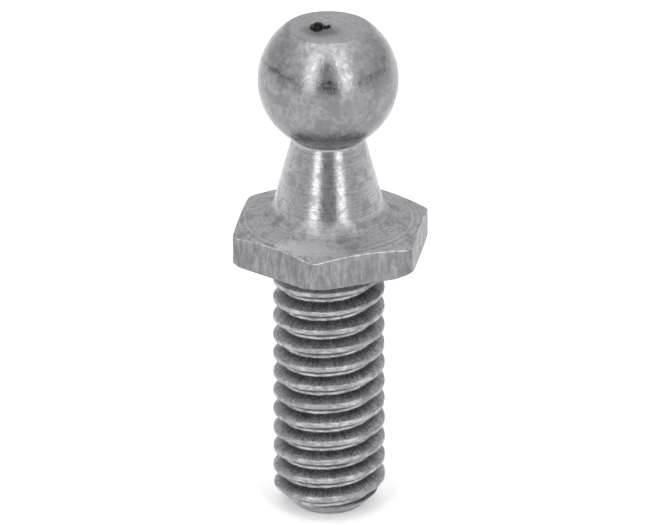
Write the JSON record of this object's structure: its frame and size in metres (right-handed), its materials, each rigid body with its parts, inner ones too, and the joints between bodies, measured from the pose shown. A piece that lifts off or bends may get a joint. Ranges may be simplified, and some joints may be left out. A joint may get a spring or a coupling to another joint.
{
  "type": "ball stud",
  "caption": "Ball stud: a faced ball on a tapered neck above a hexagon with a conical top, over a right-hand threaded shank with a chamfered tip.",
  "frame": {"origin": "on the turned axis, in the plane of the hexagon's underside", "axes": "+Z along the stud towards the ball, -Z along the thread towards its tip; two of the hexagon's corners point along -Y and +Y"},
  "size_m": [0.0126, 0.0144, 0.0358],
  "materials": {
    "ball_steel": "turned and dull, with stains",
    "neck_steel": "turned, with fine rings",
    "hexagon_steel": "drawn flats, turned top",
    "thread_steel": "cut thread with torn flanks"
  },
  "bodies": {
    "root": {"ball": "ball_steel", "neck": "neck_steel", "hex_flange": "hexagon_steel", "threaded_shank": "thread_steel"}
  },
  "joints": []
}
